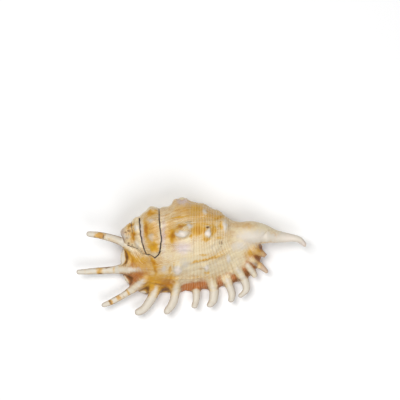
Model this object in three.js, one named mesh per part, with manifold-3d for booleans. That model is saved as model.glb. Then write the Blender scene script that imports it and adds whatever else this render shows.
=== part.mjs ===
// A spider conch shell lying on its aperture, in millimetres.
// The coil axis runs along X with the spire at -X and the siphonal canal at +X.
// The fingered outer lip spreads to -Y, and the back of the shell faces up, +Z.
// One piece: the coiled whorls, the flared lip, its fingers and the canal are fused,
// the aperture is cut between lip and belly, and the rest spots are worn flat at z = 0.
import * as THREE from "three";
import { mergeVertices } from "three/addons/utils/BufferGeometryUtils.js";
import Module from "manifold-3d";

const wasm = await Module();
wasm.setup();

// The coil axis, straight through the whorls and bent along the siphonal canal: [x, y, z]
const APEX_X = -38.5;
const CANAL_TIP_X = 63.3;
const AXIS = [
  [APEX_X, 12.4, 16.1],
  [24, 12.4, 16.1],
  [33, 12.8, 15.2],
  [42, 12.1, 13.4],
  [48, 10.6, 12],
  [56, 10, 11.4],
  [60.5, 8.8, 11.6],
  [CANAL_TIP_X, 5.6, 12],
];

// Radius of the whorls and the canal along the axis, on the side away from the lip: [x, radius]
const WHORL_PROFILE = [
  [APEX_X, 0.8],
  [-37, 2.9],
  [-33, 6.6],
  [-28, 9.8],
  [-23, 12.8],
  [-18, 14.2],
  [-13, 14.6],
  [-8, 16.6],
  [-3, 17.6],
  [4, 16.4],
  [10, 14.0],
  [15, 11.6],
  [19, 8.9],
  [24, 6.8],
  [28, 6.2],
  [33, 6.5],
  [40, 5.4],
  [45, 3.9],
  [50, 2.9],
  [55, 2.1],
  [60.5, 1.7],
  [CANAL_TIP_X, 0.7],
];

// How much wider the last whorl is round the coil, by turn back from the lip:
// 0 is the lip side, 0.25 the back, 0.5 the far side, 0.75 the belly
const WHORL_GROWTH = [
  [0, 0.96],
  [0.12, 1.05],
  [0.2, 1.11],
  [0.27, 1.11],
  [0.5, 1],
  [0.75, 0.95],
  [1, 0.96],
];
// The growth is felt only on the last whorl: it fades in along the spire and out along the neck
const GROWTH_IN_X = [-30, -12];
const GROWTH_OUT_X = [14, 28];

// Where the suture between whorls lies: [turns back from the lip, x].
// It climbs the spire again over the last quarter turn, as the lip is drawn up.
const SUTURE = [
  [0, -19.8],
  [0.1, -17.4],
  [0.25, -16.2],
  [0.5, -17.4],
  [0.75, -20.4],
  [1, -23.2],
  [1.25, -27.2],
  [1.5, -28.6],
  [2, -31],
  [2.5, -33],
  [3.5, -35.6],
  [4.5, -37],
  [6, -38],
  [8, -38.6],
];
const SUTURE_DEPTH = 0.9;
const SUTURE_WIDTH = 1.1;
// The groove is cut for this many turns, and fades where the spire is thinner than this radius
const SUTURE_TURNS = 3;
const SUTURE_FADE_RADIUS = 8;

// Knobs on the shoulder of each spire whorl, and how much of their height runs on between them
const SPIRE_KNOBS_PER_TURN = 10;
const SPIRE_KNOB_TURN = 0.026;
const SPIRE_SHOULDER = 0.62;
const SPIRE_SHOULDER_WIDTH = 0.2;
const SPIRE_KNOB_SHARE = 0.09;
const SPIRE_RIDGE = 0.35;

// Knobs of the last whorl: [x, turns back from the lip, height, half length along x, half length round]
const BODY_KNOBS = [
  [-5.4, 0.5, 2.5, 3.2, 3.6],
  [-4.2, 0.385, 1.2, 2.8, 2.6],
  [-4, 0.262, 3.6, 3.6, 2.6],
  [9.2, 0.258, 1.9, 1.9, 2.0],
  [7.7, 0.375, 1.4, 2.0, 2.4],
  [7, 0.5, 0.9, 2.0, 2.4],
  [18.2, 0.325, 1.6, 1.6, 3.0],
  [15.6, 0.5, 1.5, 1.7, 2.4],
];

// The lip, from the spire round to the canal. At each station: the rim's centre and half thickness,
// where the upper face leaves the whorl, and where the inner face meets the belly
const LIP = [
  { rim: [-36, 7.2, 12.4], half: 1.0, upper: [-29, 9, 15.5], inner: [-29, 9, 12] },
  { rim: [-38.2, -1, 9.2], half: 1.1, upper: [-25.5, 6.5, 16.5], inner: [-26, 6.5, 11] },
  { rim: [-36, -12, 6.4], half: 1.3, upper: [-20, 3, 20.4], inner: [-22, 2, 11] },
  { rim: [-27.8, -19, 3.4], half: 1.7, upper: [-13.4, 4, 29.2], inner: [-17, -1, 11] },
  { rim: [-15.5, -19.4, 1.9], half: 2.0, upper: [-8, 4.2, 32.6], inner: [-10, -3, 11.5] },
  { rim: [2, -17.4, 1.9], half: 2.0, upper: [2, 4.4, 33.2], inner: [2, -3.5, 11.5] },
  { rim: [16, -15.2, 1.9], half: 2.0, upper: [11, 5.8, 29.6], inner: [12, -2, 11] },
  { rim: [25, -12, 2.9], half: 1.7, upper: [18, 8, 24.6], inner: [20, 0.5, 10.5] },
  { rim: [33, -9, 4.4], half: 1.5, upper: [25, 9, 21.4], inner: [27, 3, 9.5] },
  { rim: [37.5, -1.5, 6.6], half: 1.3, upper: [31, 11, 19.8], inner: [32, 6, 9.5] },
  { rim: [39, 6, 9.2], half: 1.2, upper: [36, 12, 18], inner: [36, 10, 11] },
];
// Scallops of the rim between fingers: [x, depth, half width], on the rim in front of this y
const LIP_SCALLOPS = [
  [-13.8, 0.7, 2.6],
  [-2, 1.6, 3.4],
  [7.2, 1.3, 2.4],
  [16.6, 1.1, 2.4],
  [22.6, 0.7, 2],
];
const SCALLOPED_Y = -8;
// How far the upper face swells below the whorl and dips before the rim, as shares of its drop,
// and where on the way out
const LIP_BULGE = 0.33;
const LIP_BULGE_AT = 0.4;
const LIP_FLARE = 0.06;
const LIP_FLARE_AT = 0.75;
// How far the inner face is vaulted, and where on the way in
const LIP_VAULT = 1.6;
const LIP_VAULT_AT = [0.3, 0.7];

// Knobs on the lip's upper face: [x, y, height, half length along x, half length along y],
// and the way they stand out from its slope
const LIP_KNOBS = [
  [-7.2, -5.4, 2.4, 2.6, 2.4],
  [8, -5.2, 1.8, 2.0, 1.9],
];
const LIP_KNOB_RISE = new THREE.Vector3(0, -0.6, 0.8);

// Fingers of the lip, from tip to root, numbered from the spire: [x, y, z, radius]
const FINGERS = [
  [
    [-56.3, 12.2, 17.6, 1.5],
    [-51, 11.7, 17, 1.9],
    [-44, 10, 16.2, 2.1],
    [-38.5, 8, 14.6, 2.4],
    [-27, 0.4, 15, 1.5],
  ],
  [
    [-62.4, -8.9, 9, 1.3],
    [-55.6, -8.6, 8, 1.8],
    [-44, -7.9, 7.3, 2.1],
    [-37.5, -7.3, 8.4, 2.7],
    [-24, -5.8, 15.2, 1.4],
  ],
  [
    [-48.6, -27.3, 7.5, 1.3],
    [-44.6, -25.8, 6.6, 1.7],
    [-35.4, -20.6, 5.6, 2.0],
    [-29, -15.6, 8.2, 2.6],
    [-22.6, -10.2, 13.6, 1.4],
  ],
  [
    [-29.6, -31.2, 7, 1.6],
    [-25.9, -29.2, 6, 2.1],
    [-21.8, -23.2, 5, 2.4],
    [-19.4, -18.6, 6.6, 2.8],
    [-16.6, -12, 11, 1.4],
  ],
  [
    [-13.6, -30.9, 7, 1.5],
    [-10.6, -27, 5.6, 2.1],
    [-8.9, -22, 5, 2.3],
    [-8.6, -18, 7, 2.7],
    [-7.5, -11, 12, 1.4],
  ],
  [
    [1.8, -27.1, 6.5, 1.4],
    [2.7, -23.6, 5.2, 1.7],
    [2.9, -19.4, 5, 1.9],
    [3.4, -14, 8, 1.1],
  ],
  [
    [10.2, -26.8, 7, 1.6],
    [11.9, -23.8, 5.7, 2.2],
    [12.5, -19.4, 5.4, 2.5],
    [11.6, -14.2, 9, 2.7],
    [9.9, -8.8, 14.6, 1.3],
  ],
  [
    [22, -24, 6.5, 1.4],
    [22.2, -19.6, 5.2, 1.9],
    [20.7, -15.4, 5.8, 2.1],
    [18.2, -9.6, 10, 1.2],
  ],
  [
    [27.2, -21.4, 7, 1.3],
    [30, -18.2, 6, 1.8],
    [30, -14.4, 5.8, 2.1],
    [27.6, -10.4, 8, 2.3],
    [20.9, -0.6, 17.6, 1.2],
  ],
  [
    [35.3, -10.9, 6, 1.1],
    [32.9, -7.4, 7.6, 1.6],
    [29.6, -2.6, 10.8, 1.0],
  ],
  [
    [41.7, -8.7, 6.5, 0.8],
    [39, -6, 6.8, 1.3],
    [35.4, -3.6, 8.4, 1.5],
    [31, 0.2, 12, 0.9],
  ],
  [
    [40.6, 0.6, 8, 1.0],
    [36, 2.7, 10.4, 1.3],
    [31.6, 5.2, 13, 0.8],
  ],
];
const FINGER_SIDES = 8;
const FINGER_STATIONS = 10;
// On the lip a finger goes on as a rib, sunk at its end by this share of its radius
const RIB_SINK = 1.6;
// Rounding of a finger's tip: [reach beyond the last full ring, radius], as shares of the tip's radius
const FINGER_TIP = [
  [0.66, 0.5],
  [0.25, 0.9],
];
// Passes of averaging that ease the finger over the rim on to the lip
const RIB_EASE = 2;
// A point further than this from the lip's upper face is off the lip
const LIP_REACH = 2;

// Aperture: a curved slot between belly and lip, from its mouth up to its inner end:
// [x, turn of the mouth, turn of the inner end, inner radius, width]
const APERTURE = [
  [-31, 0.9, 0.96, 8.4, 0.6],
  [-26, 0.88, 0.99, 11.4, 3.2],
  [-16, 0.88, 1.01, 14.6, 3.8],
  [-4, 0.88, 1.01, 16.6, 3.2],
  [10, 0.87, 1.0, 14.4, 2.8],
  [20, 0.85, 0.98, 9.2, 2.4],
  [32, 0.82, 0.93, 5.4, 1.8],
  [42, 0.82, 0.9, 4, 0.6],
];
const APERTURE_STATIONS = 26;
const APERTURE_STEPS = 6;

// Mesh density of the body and the lip
const BODY_SIDES = 44;
const WHORL_STATIONS = 37;
const CANAL_STATIONS = 15;
const CANAL_START_X = 27;
const LIP_STATIONS = 56;
const LIP_UPPER_STEPS = 9;
const LIP_INNER_STEPS = 6;

const SHELL_COLOUR = 0xe8d3a8;
const FLOOR_BLOCK = 200;
// Edges shorter than this, left where two surfaces cross, are merged away
const CLEAN_EDGE = 0.05;

const clamp01 = (value) => Math.min(1, Math.max(0, value));

function smoothstep(low, high, value) {
  const t = clamp01((value - low) / (high - low));
  return t * t * (3 - 2 * t);
}

const bell = (distance) => Math.exp(-distance * distance);

// A smooth function through [input, value] pairs that never overshoots them.
function through(pairs) {
  const steps = pairs.slice(1).map(([x, y], i) => (y - pairs[i][1]) / (x - pairs[i][0]));
  const slopes = pairs.map((_, i) => {
    const before = steps[Math.max(0, i - 1)];
    const after = steps[Math.min(steps.length - 1, i)];
    return before * after <= 0 ? 0 : (2 * before * after) / (before + after);
  });
  return (input) => {
    const x = Math.min(pairs[pairs.length - 1][0], Math.max(pairs[0][0], input));
    let i = pairs.findIndex(([end]) => x <= end);
    i = Math.max(0, i - 1);
    const [x0, y0] = pairs[i];
    const [x1, y1] = pairs[i + 1];
    const width = x1 - x0;
    const t = (x - x0) / width;
    const rise = t * t * (3 - 2 * t);
    const ease = t * (1 - t);
    return (
      y0 + (y1 - y0) * rise + width * ease * (slopes[i] * (1 - t) - slopes[i + 1] * t)
    );
  };
}

// A closed body through rings of equally many points, each end closed by a fan to its middle.
function loft(rings) {
  const sides = rings[0].length;
  const middle = (ring) =>
    ring.reduce((sum, point) => sum.add(point), new THREE.Vector3()).divideScalar(sides);
  const points = [...rings.flat(), middle(rings[0]), middle(rings[rings.length - 1])];
  const firstPole = rings.length * sides;
  const lastPole = firstPole + 1;
  const faces = [];
  for (let i = 0; i < sides; i++) {
    const next = (i + 1) % sides;
    for (let ring = 0; ring + 1 < rings.length; ring++) {
      const a = ring * sides;
      const b = a + sides;
      faces.push(a + i, b + i, b + next, a + i, b + next, a + next);
    }
    const end = firstPole - sides;
    faces.push(firstPole, i, next, lastPole, end + next, end + i);
  }
  return new THREE.BufferGeometry().setFromPoints(points).setIndex(faces);
}

// A manifold solid of a closed geometry, turned right side out.
function solid(geometry) {
  const bare = geometry.clone();
  bare.deleteAttribute("normal");
  bare.deleteAttribute("uv");
  const merged = mergeVertices(bare);
  const triVerts = new Uint32Array(merged.index.array);
  const make = () =>
    new wasm.Manifold(
      new wasm.Mesh({ numProp: 3, vertProperties: merged.attributes.position.array, triVerts }),
    );
  const made = make();
  if (made.volume() > 0) return made;
  triVerts.reverse();
  return make();
}

// Coiled body
const axisY = through(AXIS.map(([x, y]) => [x, y]));
const axisZ = through(AXIS.map(([x, , z]) => [x, z]));
const whorlProfile = through(WHORL_PROFILE);
const whorlGrowth = through(WHORL_GROWTH);
const sutureX = through(SUTURE);

// Place of x within its spire whorl, from 0 at the older suture to 1 at the younger one.
function spireWhorl(x, turn) {
  let whorl = 0;
  while (whorl < SUTURE.length && sutureX(turn + whorl + 1) > x) whorl++;
  const older = sutureX(turn + whorl + 1);
  const younger = sutureX(turn + whorl);
  return { turns: turn + whorl, share: clamp01((x - older) / (younger - older)) };
}

function whorlRadius(x, turn) {
  const fade = smoothstep(...GROWTH_IN_X, x) * (1 - smoothstep(...GROWTH_OUT_X, x));
  const plain = whorlProfile(x) * (1 + (whorlGrowth(turn) - 1) * fade);
  let radius = plain;
  if (x < sutureX(turn)) {
    const { turns, share } = spireWhorl(x, turn);
    const shoulder = bell((share - SPIRE_SHOULDER) / SPIRE_SHOULDER_WIDTH);
    const knobs = SPIRE_KNOBS_PER_TURN * (turns - SPIRE_KNOB_TURN);
    const beat = 0.5 + 0.5 * Math.cos(2 * Math.PI * knobs);
    radius += plain * SPIRE_KNOB_SHARE * shoulder * (SPIRE_RIDGE + (1 - SPIRE_RIDGE) * beat);
  }
  const depth = SUTURE_DEPTH * smoothstep(0, SUTURE_FADE_RADIUS, plain);
  for (let whorl = 0; whorl < SUTURE_TURNS; whorl++) {
    radius -= depth * bell((x - sutureX(turn + whorl)) / SUTURE_WIDTH);
  }
  for (const [knobX, knobTurn, height, along, round] of BODY_KNOBS) {
    const girth = (turn - knobTurn) * 2 * Math.PI * plain;
    radius += height * bell(Math.hypot((x - knobX) / along, girth / round));
  }
  return radius;
}

function aroundAxis(x, turn, radius) {
  const angle = 2 * Math.PI * turn;
  return new THREE.Vector3(
    x,
    axisY(x) - radius * Math.cos(angle),
    axisZ(x) + radius * Math.sin(angle),
  );
}

function coiledBody() {
  const rings = [];
  for (let station = 0; station <= WHORL_STATIONS + CANAL_STATIONS; station++) {
    const along = station - WHORL_STATIONS;
    const x =
      along < 0
        ? THREE.MathUtils.lerp(APEX_X, CANAL_START_X, station / WHORL_STATIONS)
        : THREE.MathUtils.lerp(CANAL_START_X, CANAL_TIP_X, along / CANAL_STATIONS);
    const ring = [];
    for (let side = 0; side < BODY_SIDES; side++) {
      const turn = side / BODY_SIDES;
      ring.push(aroundAxis(x, turn, whorlRadius(x, turn)));
    }
    rings.push(ring);
  }
  return loft(rings);
}

// Flared lip
const lipCurve = (key) =>
  new THREE.CatmullRomCurve3(LIP.map((station) => new THREE.Vector3(...station[key])));
const smoothRim = lipCurve("rim");
const lipUpper = lipCurve("upper");
const lipInner = lipCurve("inner");
const lipHalf = through(LIP.map((station, i) => [i / (LIP.length - 1), station.half]));
const up = new THREE.Vector3(0, 0, 1);

function lipRim(share) {
  const rim = smoothRim.getPoint(share);
  if (rim.y > SCALLOPED_Y) return rim;
  for (const [x, depth, width] of LIP_SCALLOPS) {
    rim.y += depth * bell((rim.x - x) / width);
  }
  return rim;
}

function raiseKnobs(point) {
  for (const [x, y, height, along, across] of LIP_KNOBS) {
    const share = bell(Math.hypot((point.x - x) / along, (point.y - y) / across));
    point.addScaledVector(LIP_KNOB_RISE, height * share);
  }
  return point;
}

// The upper face at a share of the way from spire to canal, from the whorl out to the rim.
function lipUpperFace(share) {
  const root = lipUpper.getPoint(share);
  const rimTop = lipRim(share).addScaledVector(up, lipHalf(share));
  const drop = root.z - rimTop.z;
  const curve = new THREE.CubicBezierCurve3(
    root,
    root.clone().lerp(rimTop, LIP_BULGE_AT).addScaledVector(up, LIP_BULGE * drop),
    root.clone().lerp(rimTop, LIP_FLARE_AT).addScaledVector(up, -LIP_FLARE * drop),
    rimTop,
  );
  return curve.getPoints(LIP_UPPER_STEPS).map(raiseKnobs);
}

// The inner face, from the rim in to the belly.
function lipInnerFace(share) {
  const root = lipInner.getPoint(share);
  const rimFoot = lipRim(share).addScaledVector(up, -lipHalf(share));
  const vaults = LIP_VAULT_AT.map((reach) =>
    rimFoot.clone().lerp(root, reach).addScaledVector(up, LIP_VAULT),
  );
  const curve = new THREE.CubicBezierCurve3(rimFoot, ...vaults, root);
  return curve.getPoints(LIP_INNER_STEPS);
}

const lipRings = Array.from({ length: LIP_STATIONS }, (_, station) => {
  const share = station / (LIP_STATIONS - 1);
  const rim = lipRim(share);
  const outward = rim.clone().sub(lipUpper.getPoint(share)).setZ(0).normalize();
  const edge = rim.clone().addScaledVector(outward, lipHalf(share));
  return [...lipUpperFace(share), edge, ...lipInnerFace(share)];
});
const lipUpperPoints = lipRings.flatMap((ring) => ring.slice(0, LIP_UPPER_STEPS + 1));

// Height of the lip's upper face over a point, or null beyond its rim.
function lipHeight(x, y) {
  let weights = 0;
  let sum = 0;
  for (const point of lipUpperPoints) {
    const near = clamp01(1 - Math.hypot(point.x - x, point.y - y) / LIP_REACH);
    weights += near ** 2;
    sum += near ** 2 * point.z;
  }
  return weights > 0 ? sum / weights : null;
}

// Fingers
function ringAround(centre, tangent, size, sides) {
  const side = new THREE.Vector3().crossVectors(tangent, up).normalize();
  const normal = new THREE.Vector3().crossVectors(side, tangent);
  return Array.from({ length: sides }, (_, i) => {
    const angle = (2 * Math.PI * i) / sides;
    const across = side.clone().multiplyScalar(size * Math.cos(angle));
    return centre.clone().add(across).addScaledVector(normal, size * Math.sin(angle));
  });
}

// A round finger that tapers along [x, y, z, radius] points from its rounded tip to its rib on the lip.
function finger(points) {
  const path = new THREE.CatmullRomCurve3(points.map(([x, y, z]) => new THREE.Vector3(x, y, z)));
  const radius = through(points.map((point, i) => [i / (points.length - 1), point[3]]));
  const outward = path.getTangent(0);
  const rings = FINGER_TIP.map(([reach, share]) => {
    const centre = path.getPoint(0).addScaledVector(outward, -reach * radius(0));
    return ringAround(centre, outward, share * radius(0), FINGER_SIDES);
  });
  const shares = Array.from({ length: FINGER_STATIONS }, (_, i) => i / (FINGER_STATIONS - 1));
  const centres = shares.map((share) => {
    const centre = path.getPoint(share);
    const face = lipHeight(centre.x, centre.y);
    if (face !== null) centre.z = face - RIB_SINK * share ** 3 * radius(share);
    return centre;
  });
  for (let pass = 0; pass < RIB_EASE; pass++) {
    const heights = centres.map((centre) => centre.z);
    for (let i = 1; i + 1 < centres.length; i++) {
      centres[i].z = (heights[i - 1] + 2 * heights[i] + heights[i + 1]) / 4;
    }
  }
  const laid = new THREE.CatmullRomCurve3(centres);
  shares.forEach((share, i) => {
    rings.push(ringAround(centres[i], laid.getTangent(share), radius(share), FINGER_SIDES));
  });
  return loft(rings);
}

// Aperture slot
function apertureSlot() {
  const columns = ["mouth", "end", "inner", "width"].map((_, i) =>
    through(APERTURE.map((station) => [station[0], station[i + 1]])),
  );
  const firstX = APERTURE[0][0];
  const lastX = APERTURE[APERTURE.length - 1][0];
  const rings = [];
  for (let station = 0; station < APERTURE_STATIONS; station++) {
    const x = THREE.MathUtils.lerp(firstX, lastX, station / (APERTURE_STATIONS - 1));
    const [mouth, end, inner, width] = columns.map((column) => column(x));
    const arc = (radius) =>
      Array.from({ length: APERTURE_STEPS + 1 }, (_, i) =>
        aroundAxis(x, THREE.MathUtils.lerp(mouth, end, i / APERTURE_STEPS), radius),
      );
    rings.push([...arc(inner), ...arc(inner + width).reverse()]);
  }
  return loft(rings);
}

function fusedShell() {
  let shell = solid(coiledBody()).add(solid(loft(lipRings)));
  for (const points of FINGERS) {
    shell = shell.add(solid(finger(points)));
  }
  const floor = new THREE.BoxGeometry(FLOOR_BLOCK, FLOOR_BLOCK, FLOOR_BLOCK);
  floor.translate(0, 0, -FLOOR_BLOCK / 2);
  return shell.subtract(solid(apertureSlot())).subtract(solid(floor)).simplify(CLEAN_EDGE);
}

function geometryOf(manifold) {
  const mesh = manifold.getMesh();
  const geometry = new THREE.BufferGeometry();
  geometry.setAttribute("position", new THREE.BufferAttribute(mesh.vertProperties, 3));
  geometry.setIndex(new THREE.BufferAttribute(mesh.triVerts, 1));
  geometry.computeVertexNormals();
  return geometry;
}

const shellMaterial = new THREE.MeshStandardMaterial({
  color: SHELL_COLOUR,
  roughness: 0.45,
  metalness: 0,
});
const geometry = geometryOf(fusedShell());
geometry.computeBoundingBox();
const middle = geometry.boundingBox.getCenter(new THREE.Vector3());
geometry.translate(-middle.x, -middle.y, 0);
const shell = new THREE.Mesh(geometry, shellMaterial);
shell.name = "shell";

const model = new THREE.Group();
model.add(shell);
export default model;
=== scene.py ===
import math

import bmesh
import bpy
import numpy as np
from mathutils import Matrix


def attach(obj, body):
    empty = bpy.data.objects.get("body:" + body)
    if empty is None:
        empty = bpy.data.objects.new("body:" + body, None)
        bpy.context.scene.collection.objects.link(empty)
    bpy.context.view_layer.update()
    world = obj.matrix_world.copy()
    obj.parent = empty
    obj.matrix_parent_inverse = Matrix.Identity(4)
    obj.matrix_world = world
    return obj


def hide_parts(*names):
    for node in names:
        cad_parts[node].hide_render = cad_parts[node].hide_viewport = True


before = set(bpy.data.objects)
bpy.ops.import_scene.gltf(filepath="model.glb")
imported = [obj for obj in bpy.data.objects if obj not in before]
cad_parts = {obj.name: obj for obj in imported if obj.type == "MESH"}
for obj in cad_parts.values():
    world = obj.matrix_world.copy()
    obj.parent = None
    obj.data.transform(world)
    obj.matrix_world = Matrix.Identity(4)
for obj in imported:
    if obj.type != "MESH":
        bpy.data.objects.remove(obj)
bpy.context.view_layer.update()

# The body of the shell. A spider conch is one piece of hard lime, laid down at the lip by the animal
# inside, whorl after whorl round an axis along X. The fused solid gives the form: it gets an even skin
# of small faces, and its flats are relaxed into the smooth curves of something grown.
MM = 0.001
SKIN_STEP = 0.45 * MM
RELAX_PASSES = 60
RELAX_IN = 0.6
RELAX_OUT = -0.62


def made_plain(piece):
    evaluated = piece.evaluated_get(bpy.context.evaluated_depsgraph_get())
    mesh = bpy.data.meshes.new_from_object(evaluated)
    piece.modifiers.clear()
    piece.data = mesh
    return mesh


def points_of(mesh):
    flat = np.empty(len(mesh.vertices) * 3)
    mesh.vertices.foreach_get("co", flat)
    return flat.reshape(-1, 3)


def normals_of(mesh):
    flat = np.empty(len(mesh.vertices) * 3, np.float32)
    mesh.vertex_normals.foreach_get("vector", flat)
    return flat.reshape(-1, 3).astype(float)


def move_points(mesh, points):
    mesh.vertices.foreach_set("co", points.ravel())
    mesh.update()


class Neighbours:
    """The vertices joined to each vertex by an edge, for averaging over the skin."""

    def __init__(self, mesh):
        edges = np.empty(len(mesh.edges) * 2, np.int32)
        mesh.edges.foreach_get("vertices", edges)
        self.here = np.concatenate([edges[0::2], edges[1::2]])
        self.there = np.concatenate([edges[1::2], edges[0::2]])
        self.total = len(mesh.vertices)
        self.number = np.maximum(np.bincount(self.here, minlength=self.total), 1)[:, None]

    def lag(self, points):
        sums = [np.bincount(self.here, points[self.there, axis], self.total) for axis in range(3)]
        return np.stack(sums, 1) / self.number - points


shell = bpy.data.objects.new("spider_conch_shell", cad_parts["shell"].data.copy())
bpy.context.collection.objects.link(shell)
shell.data.materials.clear()
solid = bmesh.new()
solid.from_mesh(shell.data)
bmesh.ops.remove_doubles(solid, verts=solid.verts, dist=1e-7)
solid.to_mesh(shell.data)
solid.free()
skin = shell.modifiers.new("even skin", "REMESH")
skin.mode = "VOXEL"
skin.voxel_size = SKIN_STEP
skin_mesh = made_plain(shell)
neighbours = Neighbours(skin_mesh)
skin_points = points_of(skin_mesh)
for strength in (RELAX_IN, RELAX_OUT) * RELAX_PASSES:
    skin_points = skin_points + strength * neighbours.lag(skin_points)
move_points(skin_mesh, skin_points)

# The flared lip. It fans out from the last whorl to a rim, and its cords spread like a hand.
# A point on it is told by its station along the row of fingers, by the place on the whorl that its
# cord comes from, and by its reach, from 0 at the whorl to 1 at the rim.
LIP_ROOT = [
    [-29, 9.2], [-25.5, 6.7], [-20, 3.2], [-13.4, 4.2], [-8, 4.4], [2, 4.6],
    [11, 6], [18, 8.2], [25, 9.2], [31, 11.2], [36, 12.2],
]
LIP_RIM = [
    [-36.5, 7.6], [-39.3, -1], [-37, -12.6], [-28.8, -20.2], [-16, -21.2], [2, -19.2],
    [16.8, -16.8], [26, -13], [34, -9.6], [38.6, -1.6], [40, 6.2],
]
LAST_STATION = len(LIP_ROOT) - 1
LIP_SAMPLES = 61
REACH_SAMPLES = 12
NEWTON_STEPS = 6
WEB_PASSES = 60
WEB_STATIONS = [[4.2, 4.8], [8, 7.2]]
WEB_REACH = [[0.6, 0.85], [1.45, 1.1]]
EDGE_REACH = [[0.7, 1], [1.5, 1.2]]
WEB_GROWTH = 1.3
EASE_SHARE = 0.5
UP_SLOPES = [-0.1, 0.4]
DOWN_SLOPES = [0.05, -0.35]


def smoothstep(low, high, value):
    share = np.clip((value - low) / (high - low), 0, 1)
    return share * share * (3 - 2 * share)


def between(limits, value):
    """1 between two limits and 0 beyond them, each limit given as [where it is 0, where it is 1]."""
    return smoothstep(*limits[0], value) * smoothstep(*limits[1], value)


def eased(points, count):
    """A smooth line of count points through the given ones."""
    points = np.asarray(points, float)
    padded = np.vstack([2 * points[0] - points[1], points, 2 * points[-1] - points[-2]])
    at = np.linspace(0, len(points) - 1, count)
    left = np.minimum(at.astype(int), len(points) - 2)
    t = (at - left)[:, None]
    p0, p1, p2, p3 = (padded[left + step] for step in range(4))
    bend = 2 * p0 - 5 * p1 + 4 * p2 - p3
    twist = 3 * p1 - p0 - 3 * p2 + p3
    return 0.5 * (2 * p1 + (p2 - p0) * t + bend * t**2 + twist * t**3)


stations = np.linspace(0, LAST_STATION, LIP_SAMPLES)
root = eased(LIP_ROOT, LIP_SAMPLES)
rim = eased(LIP_RIM, LIP_SAMPLES)


def fan_point(station, reach):
    start = np.stack([np.interp(station, stations, root[:, axis]) for axis in (0, 1)], 1)
    end = np.stack([np.interp(station, stations, rim[:, axis]) for axis in (0, 1)], 1)
    return start + (end - start) * reach[:, None], end - start


def fan_place(plan):
    """The station and reach under each point, by the nearest of some samples and a few Newton steps."""
    sample_station, sample_reach = np.meshgrid(stations[::3], np.linspace(-0.1, 1.4, REACH_SAMPLES))
    sample_station = sample_station.ravel()
    sample_reach = sample_reach.ravel()
    samples, _ = fan_point(sample_station, sample_reach)
    station = np.empty(len(plan))
    reach = np.empty(len(plan))
    for part in np.array_split(np.arange(len(plan)), REACH_SAMPLES):
        nearest = np.square(plan[part, None] - samples[None]).sum(2).argmin(1)
        station[part] = sample_station[nearest]
        reach[part] = sample_reach[nearest]
    for _ in range(NEWTON_STEPS):
        here, across = fan_point(station, reach)
        along = (fan_point(station + 0.1, reach)[0] - fan_point(station - 0.1, reach)[0]) / 0.2
        gap = plan - here
        spread = along[:, 0] * across[:, 1] - along[:, 1] * across[:, 0]
        spread = np.where(np.abs(spread) < 1e-6, 1e-6, spread)
        station_step = (gap[:, 0] * across[:, 1] - gap[:, 1] * across[:, 0]) / spread
        reach_step = (along[:, 0] * gap[:, 1] - along[:, 1] * gap[:, 0]) / spread
        station = np.clip(station + np.clip(station_step, -0.2, 0.2), 0, LAST_STATION)
        reach = np.clip(reach + np.clip(reach_step, -0.2, 0.2), -0.5, 2.5)
    return station, reach


# Between the fingers the lip is webbed: its edge reaches out a little on the middle of the row,
# and the hollows round the fingers' feet are filled.
station, reach = fan_place(skin_points[:, :2] / MM)
_, lip_way = fan_point(station, reach)
lip_way /= np.linalg.norm(lip_way, axis=1)[:, None]
edge = between(EDGE_REACH, reach) * between(WEB_STATIONS, station)
skin_points[:, :2] += WEB_GROWTH * MM * edge[:, None] * lip_way
move_points(skin_mesh, skin_points)
web = between(WEB_REACH, reach)
outward = normals_of(skin_mesh)
for _ in range(WEB_PASSES):
    hollow = np.maximum((neighbours.lag(skin_points) * outward).sum(1), 0) * web
    skin_points = skin_points + EASE_SHARE * hollow[:, None] * outward
move_points(skin_mesh, skin_points)

x, y, z = (skin_points / MM).T
normal = normals_of(skin_mesh)
facing_up = smoothstep(*UP_SLOPES, normal[:, 2])
facing_down = smoothstep(*DOWN_SLOPES, normal[:, 2])
station, reach = fan_place(skin_points[:, :2] / MM)
on_lip = smoothstep(0, 0.12, reach)

# The coil. Each turn lies against the one before along a suture, a fine dark seam.
# A place on it is told by its turn back from the lip: 0 on the lip's side, 0.25 on the back,
# 0.5 on the far side and 0.75 on the belly.
AXIS_X = [-38.5, 24, 33, 42, 48, 56, 60.5, 63.3]
AXIS_Y = [12.6, 12.6, 13, 12.3, 10.8, 10.2, 9, 5.8]
AXIS_Z = [16.1, 16.1, 15.2, 13.4, 12, 11.4, 11.6, 12]
SUTURE_TURNS = [0, 0.1, 0.25, 0.5, 0.75, 1, 1.25, 1.5, 2, 2.5, 3.5, 4.5, 6, 8]
SUTURE_X = [-19.8, -17.4, -16.2, -17.4, -20.4, -23.2, -27.2, -28.6, -31, -33, -35.6, -37, -38, -38.6]
SPIRE_TURNS = 6
SPIRE_KNOBS_PER_TURN = 10
SPIRE_KNOB_TURN = 0.026
SHOULDER_SHARE = 0.62
BACK_RADIUS = 17.5
BACK_ROOT_GROWTH = 18
LIP_LENGTH = 26
GROWTH_SLANT = 0.25
BACK_SEAMS = [
    [
        [-17.6, 26.3], [-17.3, 22.2], [-16.9, 16.7], [-16.1, 10.6],
        [-16.4, 6.4], [-17.3, 1.7], [-19.6, -0.6],
    ],
    [[-28.3, 21.2], [-28, 18], [-27.4, 12.7], [-26.6, 7.9], [-25.1, 3.2], [-24.5, 1.6]],
    [[-26.4, 1.4], [-24.1, 1.4], [-21.7, 1.1], [-19.6, -0.6]],
]
FAINT_SEAMS = [[[-34.8, 6.6], [-33.8, 5.8], [-31.5, 5.2], [-28.7, 4.1], [-26.4, 1.4]]]
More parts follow.
